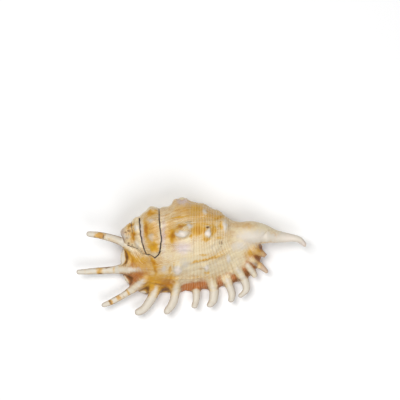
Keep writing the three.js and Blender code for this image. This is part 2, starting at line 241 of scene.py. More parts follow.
GROWTH_HALTS = [
    [[0.6, -2.9], [4, -2.2], [9.3, -0.9], [14, 0.6], [18.6, 2]],
    [[0.4, 9], [0.6, 4], [0.4, -0.6], [0.2, -4.6]],
    [[-22.7, -13.6], [-18, -15.2], [-13.2, -16.6]],
    [[-21.2, -1.8], [-20.4, -5], [-19.4, -8.8]],
    [[-14, -12.6], [-8, -12.7], [-1, -12.4], [6, -11.6]],
]
HALT_HEIGHT = 0.45
HALT_WIDTH = 0.9
SEAM_SAMPLES = 120
SEAM_EASE = 4
SEAM_PULL = 12
SEEN_FROM_ABOVE = 0.02
SEAM_DEPTH = 0.35
SEAM_WIDTH = 0.5
OLD_SEAM_LOSS = 0.25
FAINT_SEAM_LOSS = 0.1
CALLUS_TURN = 0.68
FAR = 9.0


def bell(distance):
    return np.exp(-np.square(distance))


def line_gap(line):
    """How far each point lies from a line in plan, laid in the nearest hollow of the upper side."""
    upper = np.flatnonzero(facing_up > SEEN_FROM_ABOVE)
    laid = []
    for at in eased(line, SEAM_SAMPLES):
        astray = np.sqrt(np.square(skin_points[upper, :2] / MM - at).sum(1))
        laid.append(upper[(astray - SEAM_PULL * hollows[upper]).argmin()])
    path = np.pad(skin_points[laid] / MM, ((SEAM_EASE, SEAM_EASE), (0, 0)), mode="edge")
    path = np.mean([path[step:step + SEAM_SAMPLES] for step in range(2 * SEAM_EASE + 1)], 0)
    gap = np.full_like(x, FAR)
    for at in path:
        gap = np.minimum(gap, np.sqrt(np.square(skin_points / MM - at).sum(1)))
    return gap


hollows = np.clip((neighbours.lag(skin_points) * normal).sum(1) / MM, 0, 0.1)
turn = np.arctan2(z - np.interp(x, AXIS_X, AXIS_Z), np.interp(x, AXIS_X, AXIS_Y) - y)
turn = (turn / (2 * math.pi)) % 1
turns_back = turn.copy()
whorl_share = np.ones_like(x)
seam = np.full_like(x, FAR)
on_back = (facing_up > SEEN_FROM_ABOVE) & (turn < 0.5)
for whorl in range(SPIRE_TURNS):
    younger = np.interp(turn + whorl, SUTURE_TURNS, SUTURE_X)
    older = np.interp(turn + whorl + 1, SUTURE_TURNS, SUTURE_X)
    inside = (x <= younger) & (x > older)
    turns_back[inside] += whorl
    whorl_share[inside] = ((x - older) / (younger - older))[inside]
    loss = OLD_SEAM_LOSS if whorl > 1 else 0
    drawn = (~on_back | (whorl > 1)) & (turn < CALLUS_TURN) & (reach < 0.02)
    seam = np.where(drawn, np.minimum(seam, np.abs(x - younger) + loss), seam)
for line in BACK_SEAMS:
    seam = np.where(on_back | (facing_up > 0.3), np.minimum(seam, line_gap(line)), seam)
for line in FAINT_SEAMS:
    seam = np.where(facing_up > SEEN_FROM_ABOVE, np.minimum(seam, line_gap(line) + FAINT_SEAM_LOSS), seam)
on_spire = smoothstep(0.4, -0.4, x - np.interp(turn, SUTURE_TURNS, SUTURE_X)) * (1 - on_lip)
cord = np.where(reach > 0, np.interp(station, stations, root[:, 0]), x)
growth = np.where(reach > 0, BACK_ROOT_GROWTH - LIP_LENGTH * reach, turn * 2 * math.pi * BACK_RADIUS)
growth = growth - GROWTH_SLANT * x
swell = -SEAM_DEPTH * bell(seam / SEAM_WIDTH)
# Where the lip stood still for a while, a low step is left across the back.
for line in GROWTH_HALTS:
    swell += HALT_HEIGHT * bell(line_gap(line) / HALT_WIDTH) * facing_up

# The fingers. The lip draws out a row of them, hollow at first and then filled into curved prongs.
# Each runs on up the lip as a low rib, so that the lip is fluted between them.
FINGERS = [
    [[-56.3, 12.4], [-44, 10.2], [-38.5, 8.2], [-27, 0.6]],
    [[-62.4, -8.7], [-44, -7.7], [-37.5, -7.3], [-18, -7]],
    [[-48.6, -27.1], [-35.4, -20.4], [-29, -15.4], [-22.6, -10]],
    [[-29.6, -31], [-25.9, -29], [-21.8, -23], [-16.6, -11.8]],
    [[-13.6, -30.7], [-10.6, -26.8], [-8.9, -21.8], [-7.5, -10.8]],
    [[1.8, -26.9], [2.7, -23.4], [2.9, -20.2], [3.2, -16.6]],
    [[10.2, -26.6], [11.9, -23.6], [12.5, -19.2], [9.9, -8.6]],
    [[22, -23.8], [22.2, -19.4], [20.7, -15.2], [18.2, -9.4]],
    [[27.2, -21.2], [30, -18], [30, -14.2], [27.6, -10.2], [20.9, -0.4]],
    [[35.3, -10.7], [32.9, -7.2], [29.6, -2.4]],
    [[41.7, -8.5], [35.4, -3.4], [31, 0.4]],
    [[40.6, 0.8], [36, 2.9], [31.6, 5.4]],
]
RIB_WIDTH = 2.6
RIB_CREST_WIDTH = 1.7
RIB_HEIGHT = 1.2
FLUTE_DEPTH = 0.6
FINGER_FILL = 0.4
ROOT_WIDTH = 3
ROOT_PASSES = 40
ROOT_REACH = [[0.75, 0.95], [1.4, 1.15]]
ROOT_STATIONS = [8, 7.6]
FILL_STATIONS = [2.4, 3.2]
FINGER_EDGE = [5, 3.4]
FINGER_REACH = [0.98, 1.12]
FLANK_REACH = [0.85, 1]
FLANK_SLOPES = [[0.8, 0.1], [-0.8, -0.2]]
FLUTE_REACH = [0.15, 0.6]
PAST_RIM = [0.85, 1.4]
FINGER_SAMPLES = 40

rib = np.zeros_like(x)
rib_crest = np.zeros_like(x)
finger_gap = np.full_like(x, FAR)
for finger in FINGERS:
    gap = np.full_like(x, FAR)
    along = np.zeros_like(x)
    for step, (finger_x, finger_y) in enumerate(eased(finger, FINGER_SAMPLES)):
        here = np.hypot(x - finger_x, y - finger_y)
        closer = here < gap
        gap[closer] = here[closer]
        along[closer] = 1 - step / (FINGER_SAMPLES - 1)
    rib = np.maximum(rib, bell(gap / RIB_WIDTH) * smoothstep(0, 0.3, along))
    rib_crest = np.maximum(rib_crest, bell(gap / RIB_CREST_WIDTH) * smoothstep(0, 0.22, along))
    finger_gap = np.minimum(finger_gap, gap)
finger_root = bell(finger_gap / ROOT_WIDTH) * between(ROOT_REACH, reach)
finger_root *= smoothstep(*ROOT_STATIONS, station)
for _ in range(ROOT_PASSES):
    skin_points = skin_points + EASE_SHARE * finger_root[:, None] * neighbours.lag(skin_points)
move_points(skin_mesh, skin_points)
near_finger = smoothstep(*FINGER_EDGE, finger_gap)
on_finger = smoothstep(*FINGER_REACH, reach) * near_finger
valley = (1 - rib) * (1 - on_finger)
past_rim = smoothstep(*PAST_RIM, reach)
flutes = facing_up * smoothstep(*FLUTE_REACH, reach) * (1 - past_rim)
# The sideways-facing flanks of the fingers. The brown laid on them further on is painted shade along the
# finger edges, with real brown staining at the fingers' feet.
flank_stain_and_shade = smoothstep(*FLANK_REACH, reach) * near_finger * between(FLANK_SLOPES, normal[:, 2])
swell += flutes * (RIB_HEIGHT * rib - FLUTE_DEPTH * valley)
swell += FINGER_FILL * past_rim * smoothstep(*FILL_STATIONS, station) * near_finger

# The knobs. The shoulder of each whorl swells into blunt knobs, worn paler than the ground.
# Each is [x, y, half length, half width, degrees from +X, height], on the back or on the outline.
BACK_KNOBS = [
    [-4.4, 13.2, 4, 1.9, 14, 1.2],
    [-1.2, 16.8, 1.8, 1.7, 0, 0.6],
    [9, 13.3, 1.6, 2.2, 0, 1.1],
    [7.4, 23.8, 1.8, 2.6, 0, 0.8],
    [18.3, 16.6, 1.5, 4, 0, 0.9],
    [-7.2, -7.2, 2.6, 3.2, 0, 0.9],
    [8.4, -5.9, 1.7, 1.8, 0, 0.8],
    [20.5, -0.9, 1.7, 2.8, 0, 0.7],
]
OUTLINE_KNOBS = [
    [-8.4, 30, 1.7, 4, 0, 1.1],
    [-2.6, 30.4, 2.2, 4, 0, 0.6],
    [-4.9, 32, 1.5, 2.4, 0, -1.1],
    [61.8, 6.8, 2.2, 2.6, 0, 0.5],
]
SPIRE_KNOB_HEIGHT = 0.7
SPIRE_KNOB_WIDTH = 0.24
DRIFT = 0.12

# Slow waves over the plan, which keep knobs and patches from being true ovals.
drift_x = np.sin(1.3 * x + 0.9 * y) + np.sin(2.1 * y - 1.1 * x + 2) + np.sin(0.6 * y + 1)
drift_y = np.sin(1.7 * x - 1.2 * y + 4) + np.sin(2.4 * x + 0.8 * y) + np.sin(0.5 * x + 3)


def spot(side, at_x, at_y, half_length, half_width, degrees):
    """An uneven oval on one side of the shell, 1 in the middle and fading out beyond its edge."""
    angle = math.radians(degrees)
    looseness = DRIFT * min(half_length, half_width, 2)
    aside_x = x + looseness * drift_x - at_x
    aside_y = y + looseness * drift_y - at_y
    along = aside_x * math.cos(angle) + aside_y * math.sin(angle)
    across = aside_y * math.cos(angle) - aside_x * math.sin(angle)
    return bell(np.hypot(along / half_length, across / half_width)) * side


for *oval, height in BACK_KNOBS:
    swell += height * spot(facing_up, *oval)
for *oval, height in OUTLINE_KNOBS:
    swell += height * spot(1 - facing_down, *oval)
beat = 0.5 + 0.5 * np.cos(2 * math.pi * SPIRE_KNOBS_PER_TURN * (turns_back - SPIRE_KNOB_TURN))
spire_knob = bell((whorl_share - SHOULDER_SHARE) / SPIRE_KNOB_WIDTH) * beat**2 * on_spire
swell += SPIRE_KNOB_HEIGHT * spire_knob

# The mouth. The lip's inner face carries a fan of fine pale ridges, the lirae, over a dark ground,
# inside a plain orange rim. The belly beside the slit is glazed over with a callus.
LIRAE_BETWEEN = [[0.08, 0.24], [0.88, 0.72]]
DARK_STATIONS = [[1.2, 3.4], [9.6, 7]]

in_fan = smoothstep(0.01, 0.2, station) * smoothstep(LAST_STATION - 0.01, LAST_STATION - 0.3, station)
under_lip = facing_down * smoothstep(0.02, 0.1, reach) * (1 - on_finger) * in_fan
lirae = under_lip * between(LIRAE_BETWEEN, reach)
mouth_dark = between(DARK_STATIONS, station)
belly = facing_down * (1 - on_finger)

# The pigments, laid down with the growing edge and worn off the high places. On the left of the lip
# the hollows between fingers end in brown arcs and a pale rim, and on the right they are rusty.
# Each patch is [x, y, half length, half width, degrees from +X, strength].
BELLY_PIGMENTS = {
    "glaze": [[6, 2, 34, 9, 0, 1], [34, 8, 16, 7, 0, 0.9], [-24, 3, 12, 6, 0, 0.6]],
    "tan": [[-16, 9, 13, 9, 0, 0.85], [-29, 9, 9, 8, 0, 0.7]],
    "plum": [[23, 6, 11, 9, 0, 0.95], [40, 9, 10, 5, 0, 0.9]],
    "orange": [[8, 12, 13, 11, 0, 1], [-14, 0, 6, 4, 0, 0.7], [4, 0, 10, 4, 0, 0.6]],
}
PIGMENTS = {
    "gold": [
        [2, 24.5, 20, 8, 0, 0.9], [-11, 16, 5, 11, 0, 0.85], [25, 17.6, 10, 2.2, -4, 0.5],
        [22, 13, 3, 6, 0, 0.35], [-26, -7, 10, 10, 0, 0.95], [2, -11.4, 24, 1.4, 0, 0.3],
        [14, 1.4, 6, 2.6, 14, 0.35], [33.6, 0.6, 4, 3, 0, 0.6], [-22, 14, 5, 16, 0, 0.8],
        [-33, 12, 4, 8, 0, 0.5], [45.6, 12.4, 4, 1.6, -20, 0.4], [8, 14, 14, 5, 0, 0.5],
        [41, 7.4, 5, 1.4, 14, 0.4], [36, 2.6, 4, 4, 0, 0.9],
        [36.4, -3.4, 5, 2.4, -38, 0.8],
    ],
    "ochre": [
        [-9.6, 11.6, 2.2, 4.4, -10, 1], [-5.6, 16.7, 3.3, 1.3, 25, 1], [3.6, 14.7, 3.6, 3.2, 0, 1.1],
        [0.2, 11.8, 1.2, 1.5, 0, 0.85], [7, 14, 1, 3.4, 0, 1], [8, 10, 2.5, 1.4, 0, 1],
        [11.9, 14.6, 1.7, 3.8, 0, 0.95], [15.8, 16.8, 1.6, 2.2, 0, 0.75], [15.3, 10.5, 2.1, 1, 0, 0.7],
        [9.4, 17.6, 4.4, 0.7, -8, 0.85], [2.7, 25.7, 3.6, 2.2, 0, 1], [15.2, 21, 3.6, 1.1, 18, 1],
        [-6, 21.6, 8, 0.6, 8, 0.7], [9.3, -0.9, 9.2, 0.9, 14, 1], [2.2, -2.3, 2, 1, 0, 0.9],
        [6.9, 1.4, 2.6, 0.6, 0, 0.7], [8.7, -9.1, 2, 0.9, 0, 0.7], [5.2, -6.9, 1.8, 0.6, 0, 0.55],
        [-20.6, -3.2, 1.4, 3.2, 14, 0.95], [-19.5, -7.6, 1.5, 3.8, 14, 0.95], [-11.4, -7.2, 1, 4, 0, 0.8],
        [-9.2, -5, 0.5, 2.4, 0, 0.6], [-18, -15.2, 5.2, 1.3, -16, 1], [-10.2, -14.4, 2.4, 1, 0, 0.9],
        [-31.9, -1.9, 3, 2.5, 0, 0.95], [-27.6, -1.4, 4.2, 1.8, 0, 0.7], [-24.2, 15, 1.5, 7, 9, 1],
        [-20.5, 5.8, 3.2, 3.4, 0, 1.05], [-21.4, 23.5, 3.6, 1.9, 0, 0.85], [-31.2, 11.5, 1.7, 2.8, 0, 1],
        [-33.1, 16.8, 2.3, 1.4, 30, 0.95], [32.6, 2, 2, 1.6, -40, 0.8], [37, 3, 3.4, 1.2, -25, 0.75],
        [-49.8, 11.8, 3.2, 4, 0, 0.95], [-50.4, -8.3, 2.4, 4, 0, 0.8], [-42.6, -7.6, 1, 4, 0, 0.6],
        [-58.5, -8.8, 0.9, 4, 0, 0.4], [-44.4, -25.4, 1.3, 3.4, 30, 0.95],
        [-39.8, -22.8, 1.8, 3.4, 30, 0.7], [-34.8, -20, 1.2, 3.4, 30, 0.75],
        [-45, 9.4, 7, 2, -14, 0.42], [-55, -9.6, 5, 1.6, 0, 0.42],
        [-46, -9.2, 5, 1.4, 0, 0.38], [-38, -23.4, 6, 1.6, 32, 0.45],
    ],
    "white": [
        [-4.6, 13, 3.5, 1.5, 12, 1.05], [-1.1, 16.8, 1.7, 1.5, 0, 0.95], [9, 13.3, 1.5, 2.1, 0, 1.2],
        [7.4, 24, 1.5, 2.4, 0, 0.7], [18.2, 16.5, 1.3, 3.8, 0, 0.85], [-7.2, -7.4, 2.3, 3.1, 0, 1.3],
        [-3.6, -3.8, 3.8, 4.6, 0, 0.65], [8.4, -5.9, 1.6, 1.8, 0, 1.2], [20.6, -1, 1.4, 2.8, 0, 0.95],
        [38, 10.8, 15, 4.8, -3, 0.85], [26.6, 5.8, 6.4, 3.4, 0, 0.7], [54, 10, 11, 6, 0, 0.95],
        [-21.8, 19.3, 3.2, 1.7, 0, 0.6], [-21.2, 10.7, 2.6, 2.4, 0, 0.6], [-29.6, 15.6, 1.7, 1.9, 0, 0.9],
        [-34.4, 10.7, 1.6, 2, 0, 0.6], [-29.2, 7, 1.9, 3, 0, 0.7], [-26.6, 16, 0.9, 5, 9, 0.65],
        [-14.8, -6.8, 2.6, 3, 0, 0.6], [12, 4.6, 5, 3, 0, 0.4],
        [12, -5, 9, 3, 8, 0.35], [24, -3, 5, 3, -30, 0.4],
    ],
    "lilac": [
        [-4.4, 5.2, 5.4, 4, 0, 0.95], [-14.9, 11.8, 1.5, 12, 0, 0.8], [-26.4, 13, 1, 7.4, 9, 0.85],
        [-11, 0.8, 2.4, 2, 0, 0.4], [-37.4, 11.3, 2.2, 4, 0, 0.85], [20.4, -0.6, 1.2, 2, 0, 0.7],
        [34, 10.4, 9, 4.4, 0, 0.8], [50, 10, 11, 4, 0, 0.7], [60, 8, 6, 5, 0, 0.9],
        [-4.8, 30.2, 4.6, 2.6, 0, 0.85], [-14.8, -6.8, 2, 2.2, 0, 0.6], [26.6, 6, 6, 3, 0, 0.6],
    ],
    "brown": [
        [-1.4, 19, 2.8, 0.5, 5, 0.8], [9, 16.2, 1.1, 0.7, 0, 1], [15.4, 7.8, 0.4, 1.7, 0, 0.75],
        [16.5, 7.6, 0.4, 1.7, 0, 0.75], [16, 5.6, 1.3, 0.4, 0, 0.6], [-4.7, -12.6, 5.5, 0.4, 0, 0.4],
        [-34.2, 14, 0.6, 0.6, 0, 0.9], [-35, 10.2, 0.6, 0.6, 0, 0.9], [-35.6, 13.4, 0.6, 0.5, 0, 0.8],
        [-34, 7.6, 0.6, 0.6, 0, 0.9], [-32.1, 6.6, 0.7, 0.5, 0, 0.9], [-30.6, 5.2, 0.6, 0.5, 0, 0.8],
        [-9.9, 11.6, 0.9, 2.2, -10, 0.4], [-37.2, 12.8, 1.8, 2.6, 0, 0.45],
        [-18, -15, 4.4, 0.5, -16, 0.55], [35.3, -4.2, 1.5, 3, 38, 0.8],
        [38.4, 5.6, 1.2, 2, 0, 0.8], [35.6, -0.4, 0.8, 2.6, 40, 0.6], [31.6, -9.4, 2, 2.4, 20, 0.8],
        [-47.9, 10.9, 0.7, 2, 0, 0.8], [-52.9, 10.8, 0.8, 1, 0, 0.7], [-46.2, -6.2, 2.8, 0.7, 4, 0.9],
        [-49.8, -9.8, 2.4, 0.7, 0, 0.85], [-44.8, -25.6, 0.8, 1.7, 30, 0.85],
        [-37.2, -22.3, 0.8, 2.2, 30, 0.6], [-36.2, -19.1, 2.2, 0.7, 35, 0.8],
    ],
}
LEFT_STATIONS = [4.7, 4.1]
RIM_STATIONS = [0, 1.2, 2, 3.2, 4.4]
RIM_REACH = [0.77, 0.77, 0.9, 0.9, 0.95]
RIM_SCALLOP = 0.3
RIM_BLEND = 0.08
ARC_INSET = 0.04
ARC_WIDTH = 0.07
STAIN_REACH = [0.35, 0.72]
RUST_BLEND = 0.25
BROWN_BLEND = 0.16
RUST_STATIONS = [0, 4.4, 7.2, 8, 10]
RUST_REACH = [0.66, 0.68, 0.66, 0.48, 0.48]
BROWN_REACH = [0.92, 0.92, 0.86, 0.62, 0.55]
WORN_STATIONS = [0, 7.8, 8.6, 10]
WORN_SHARE = [1, 1, 0.5, 0.3]
ROSY_STATION = 2.2
ROSY_SPREAD = 0.7
SIDE_STATIONS = [3.3, 2.9]
FOOT_STATIONS = [4.7, 4.4]
FOOT_REACH = [1.3, 1.1]
POCKET_STATIONS = [7, 7.8]
POCKET_DEPTH = [0.35, 0.08]

pigment = {}
for name, patches in PIGMENTS.items():
    pigment[name] = np.zeros_like(x)
    for *oval, strength in patches:
        pigment[name] = np.maximum(pigment[name], strength * spot(facing_up, *oval))
for name, patches in BELLY_PIGMENTS.items():
    pigment[name] = np.zeros_like(x)
    for *oval, strength in patches:
        pigment[name] = np.maximum(pigment[name], strength * spot(belly, *oval))
notch = np.sqrt(valley) * facing_up * in_fan
left = smoothstep(*LEFT_STATIONS, station) * notch
right = smoothstep(*LEFT_STATIONS[::-1], station) * notch
rim_start = np.interp(station, RIM_STATIONS, RIM_REACH) + RIM_SCALLOP * rib
pale_rim = left * smoothstep(rim_start, rim_start + RIM_BLEND, reach)
arc = left * bell((reach - rim_start + ARC_INSET) / ARC_WIDTH)
stain = left * smoothstep(*STAIN_REACH, reach) * (1 - pale_rim)
rust_start = np.interp(station, RUST_STATIONS, RUST_REACH)
brown_start = np.interp(station, RUST_STATIONS, BROWN_REACH)
worn = np.interp(station, WORN_STATIONS, WORN_SHARE)
rosy = bell((station - ROSY_STATION) / ROSY_SPREAD)
pocket = np.interp(station, POCKET_STATIONS, POCKET_DEPTH)
crests = worn * np.maximum(0.7 * rib_crest * facing_up, on_finger)
foot_stain = smoothstep(*FOOT_STATIONS, station) * smoothstep(*FOOT_REACH, reach)
# Painted shade as well: on the left fingers' sideways flanks the white gives way to brown. At the feet of
# the right-hand fingers this is real brown staining.
edge_stain_and_shade = flank_stain_and_shade * np.maximum(smoothstep(*SIDE_STATIONS, station), foot_stain)
pigment["white"] = np.maximum.reduce([pigment["white"], 0.75 * pale_rim, crests])
pigment["white"] *= 1 - 0.8 * edge_stain_and_shade
pigment["ochre"] = np.maximum(pigment["ochre"], 0.85 * stain * (1 - rosy))
pigment["rust"] = np.maximum.reduce([
    right * smoothstep(rust_start, rust_start + RUST_BLEND, reach - pocket * rib),
    0.8 * stain * rosy,
    0.9 * (1 - worn) * on_finger,
])
pigment["brown"] = np.maximum.reduce([
    pigment["brown"],
    0.95 * arc,
    0.8 * edge_stain_and_shade,
    0.8 * right * smoothstep(brown_start, brown_start + BROWN_BLEND, reach),
])

FIELDS = {
    "cord": cord, "growth": growth, "reach": reach, "seam": seam, "swell": swell, "lirae": lirae,
    "under_lip": under_lip, "mouth_dark": mouth_dark, "on_finger": on_finger, "flank_stain_and_shade": flank_stain_and_shade, **pigment,
}
for name, values in FIELDS.items():
    attribute = skin_mesh.attributes.new(name, "FLOAT", "POINT")
    attribute.data.foreach_set("value", values.astype(np.float32))


# The fine relief, grown in the lime itself: spiral cords across the back, lines and folds left by
# the growing edge, and the lirae in the mouth. Each is a small move of the skin along its normal,
# on top of the knobs, ribs and seams.
class Wire:
    """A socket of a node tree. Arithmetic on it adds Math nodes, and node() adds any other node."""

    def __init__(self, tree, socket=None):
        self.tree = tree
        self.socket = socket

    def node(self, kind, settings=None, inputs=None, output=0):
        made = self.tree.nodes.new(kind)
        for name, value in (settings or {}).items():
            setattr(made, name, value)
        for key, value in (inputs or {}).items():
            socket = self.find(made.inputs, key)
            if isinstance(value, Wire):
                self.tree.links.new(value.socket, socket)
            else:
                socket.default_value = value
        return Wire(self.tree, self.find(made.outputs, output))

    @staticmethod
    def find(sockets, key):
        if isinstance(key, int):
            return sockets[key]
        return next(socket for socket in sockets if socket.name == key and socket.enabled)

    def math(self, operation, *values):
        return self.node("ShaderNodeMath", {"operation": operation}, dict(enumerate(values)))

    def __add__(self, other):
        return self.math("ADD", self, other)

    def __radd__(self, other):
        return self.math("ADD", other, self)

    def __sub__(self, other):
        return self.math("SUBTRACT", self, other)

    def __rsub__(self, other):
        return self.math("SUBTRACT", other, self)

    def __mul__(self, other):
        return self.math("MULTIPLY", self, other)

    def __rmul__(self, other):
        return self.math("MULTIPLY", other, self)

    def __truediv__(self, other):
        return self.math("DIVIDE", self, other)

    def __rtruediv__(self, other):
        return self.math("DIVIDE", other, self)

    def __pow__(self, other):
        return self.math("POWER", self, other)

    def __abs__(self):
        return self.math("ABSOLUTE", self)

    def most(self, other):
        return self.math("MAXIMUM", self, other)

    def rises(self, low, high):
        """0 below low, 1 above high, and an even change between."""
        return self.node(
            "ShaderNodeMapRange",
            {"interpolation_type": "SMOOTHSTEP"},
            {"Value": self, "From Min": low, "From Max": high, "To Min": 0.0, "To Max": 1.0},
        )

    def falls(self, low, high):
        return 1 - self.rises(low, high)

    def wave(self, pitch):
        """1 at every whole pitch and 0 halfway between."""
        phase = self / pitch * (2 * math.pi)
        return 0.5 + 0.5 * self.math("COSINE", phase)

    def cloud(self, scale, detail=3.0):
        """Smooth noise over the points of a vector socket."""
        return self.node(
            "ShaderNodeTexNoise", None, {"Vector": self, "Scale": scale, "Detail": detail}, "Fac"
        )


RELIEF = {
    "Cord pitch": 1.42,
    "Cord height": 0.2,
    "Growth step": 2.3,
    "Growth height": 0.18,
    "Fold step": 6.5,
    "Fold height": 0.35,
    "Lira pitch": 1.3,
    "Lira height": 0.42,
    "Unevenness": 0.25,
}
CORD_ZONE = [[-1.5, 1], [19, 23]]
LIP_CORDS = [-11, -7]
CORD_WANDER = 0.9
FINE_CORD_SHARE = 0.55
LINE_WANDER = 5
FOLD_WANDER = 14
WANDER_SCALE = 90.0
UNEVEN_SCALE = 170.0

relief_tree = bpy.data.node_groups.new("grown relief", "GeometryNodeTree")
sockets = relief_tree.interface
sockets.new_socket("Geometry", in_out="INPUT", socket_type="NodeSocketGeometry")
relief_inputs = {
    name: sockets.new_socket(name, in_out="INPUT", socket_type="NodeSocketFloat").identifier
    for name in RELIEF
}
sockets.new_socket("Geometry", in_out="OUTPUT", socket_type="NodeSocketGeometry")
given = relief_tree.nodes.new("NodeGroupInput")
grown = Wire(relief_tree)


def size(name):
    return Wire(relief_tree, given.outputs[name])


def field(name):
    return grown.node(
        "GeometryNodeInputNamedAttribute", {"data_type": "FLOAT"}, {"Name": name}, "Attribute"
    )


position = grown.node("GeometryNodeInputPosition")
wander = position.cloud(WANDER_SCALE, 1.0)
uneven = position.cloud(UNEVEN_SCALE)
in_zone = field("cord").rises(*CORD_ZONE[0]) * field("cord").falls(*CORD_ZONE[1])
bare = (1 - field("under_lip")) * (1 - field("glaze")) * (1 - field("on_finger"))
cords = (field("cord") + wander * CORD_WANDER).wave(size("Cord pitch")) * (in_zone * 0.8 + 0.2)
lines = (field("growth") + wander * LINE_WANDER).wave(size("Growth step")) * uneven.rises(0.35, 0.6)
folds = (field("growth") + wander * FOLD_WANDER).wave(size("Fold step"))
folds = folds * field("cord").falls(*CORD_ZONE[1])
ridges = field("cord").wave(size("Lira pitch")) ** 2 * field("lirae")
rise = (
    field("swell") * (0.6 + uneven * 0.8)
    + cords * size("Cord height") * bare
    + lines * size("Growth height") * bare
    + folds * size("Fold height") * bare
    + ridges * size("Lira height")
    + (uneven - 0.5) * size("Unevenness") * (1 + field("on_finger"))
)
offset = grown.node(
    "ShaderNodeVectorMath",
    {"operation": "SCALE"},
    {0: grown.node("GeometryNodeInputNormal"), "Scale": rise * MM},
)
moved = grown.node("ShaderNodeVectorMath", {"operation": "ADD"}, {0: position, 1: offset})
on_table = grown.node("ShaderNodeVectorMath", {"operation": "MAXIMUM"}, {0: moved, 1: (-1, -1, 0)})
raised = grown.node(
    "GeometryNodeSetPosition",
    None,
    {"Geometry": Wire(relief_tree, given.outputs["Geometry"]), "Position": on_table},
)
shell_finish = bpy.data.materials.new("shell")
realized = grown.node("GeometryNodeRealizeInstances", None, {"Geometry": raised})
dressed = grown.node("GeometryNodeSetMaterial", None, {"Geometry": realized, "Material": shell_finish})
relief_tree.links.new(dressed.socket, relief_tree.nodes.new("NodeGroupOutput").inputs["Geometry"])

relief = shell.modifiers.new("grown relief", "NODES")
relief.node_group = relief_tree
for name, value in RELIEF.items():
    relief[relief_inputs[name]] = value
shell_mesh = made_plain(shell)
shell_mesh.shade_smooth()


# The finish: ivory lime with gold and ochre in it, rubbed to a dull shine on the back,
# and a glassy glaze in the mouth and over the belly. The pigments are broken up by noise
# and by the bands of growth. The colour is darker in the grooves between the cords, and the paler
# cord crests are partly a painted highlight. The brown on the fingers' sideways flanks is painted
# shade, with real staining at their feet.
def tint(red, green, blue):
    """A colour told in sRGB bytes."""
    shares = np.array([red, green, blue]) / 255
    linear = np.where(shares <= 0.04045, shares / 12.92, ((shares + 0.055) / 1.055) ** 2.4)
    return (*linear, 1)


IVORY = tint(226, 212, 178)
PALE_CREST_AND_HIGHLIGHT = tint(240, 228, 200)
GOLD = tint(210, 166, 88)
OCHRE = tint(204, 152, 26)
DEEP_OCHRE = tint(176, 112, 8)
STRAW = tint(232, 190, 96)
WHITE = tint(212, 204, 189)
BRIGHT = tint(232, 219, 207)
FLANK_BROWN_AND_SHADE = tint(158, 126, 92)
LILAC = tint(213, 200, 200)
RUST = tint(168, 94, 26)
BROWN = tint(100, 58, 14)
SEAM = tint(44, 30, 38)
MOUTH_DARK = tint(66, 40, 44)
MOUTH_BROWN = tint(146, 92, 58)
MOUTH_RIM = tint(204, 144, 92)
LIRA = tint(222, 200, 194)
GLAZE = tint(186, 126, 60)
ORANGE = tint(200, 128, 28)
AMBER = tint(224, 168, 76)
PLUM = tint(138, 86, 70)
TAN = tint(206, 180, 158)
BROAD_SCALE = 110.0
MOTTLE_SCALE = 380.0
GRAIN_SCALE = 1400.0
BUMP_STRENGTH = 0.2
BUMP_DEPTH = 0.4 * MM

shell_finish.use_nodes = True
paint_tree = shell_finish.node_tree
surface = next(node for node in paint_tree.nodes if node.type == "BSDF_PRINCIPLED")
paint = Wire(paint_tree)


def told(name):
    return paint.node("ShaderNodeAttribute", {"attribute_name": name}, None, "Fac")


def mixed(share, first, second):
    return paint.node(
        "ShaderNodeMix",
        {"data_type": "RGBA"},
        {"Factor": share, "A": first, "B": second},
        "Result",
    )


here = paint.node("ShaderNodeTexCoord", None, None, "Object")
broad = here.cloud(BROAD_SCALE)
mottle = here.cloud(MOTTLE_SCALE)
grain = here.cloud(GRAIN_SCALE, 2.0)
lip_zone = told("reach").rises(0.0, 0.2) * told("reach").falls(0.6, 0.8)
lip_zone = told("cord").rises(*LIP_CORDS) * lip_zone
back_zone = told("cord").rises(*CORD_ZONE[0]) * told("cord").falls(*CORD_ZONE[1])
zone = back_zone.most(lip_zone * 0.6)
groove = 1 - (told("cord") + here.cloud(WANDER_SCALE, 1.0) * CORD_WANDER).wave(RELIEF["Cord pitch"])
striped = zone * groove
age = told("growth") + broad * 4
bands = paint.node(
    "ShaderNodeTexNoise", {"noise_dimensions": "1D"}, {"W": age * 0.7, "Detail": 3.0}, "Fac"
)
thin_line = abs(bands - 0.5).falls(0.0, 0.045) * mottle.rises(0.3, 0.55)

gold = 0.03 + told("gold") + (broad - 0.5) * 1.1 + (bands - 0.5) * 1.5
colour = mixed(gold.rises(0.05, 0.95), IVORY, GOLD)
colour = mixed((told("lilac") + (mottle - 0.5) * 0.4).rises(0.1, 1.0) * 0.9, colour, LILAC)
colour = mixed(thin_line * (0.3 + told("gold")).rises(0.1, 0.7), colour, DEEP_OCHRE)
ochre = (told("ochre") + (mottle - 0.5) * 0.7 + (bands - 0.5) * 0.6).rises(0.1, 0.8)
deep_ochre = mixed((told("ochre") + (broad - 0.5) * 1.2).rises(0.5, 1.2), OCHRE, DEEP_OCHRE)
colour = mixed(ochre * (1 - zone * 0.3 + striped * 0.3), colour, deep_ochre)
colour = mixed(ochre * (zone - striped) * 0.5, colour, STRAW)
colour = mixed(striped * (0.2 + told("gold") * 0.5) * bands.rises(0.3, 0.6), colour, OCHRE)
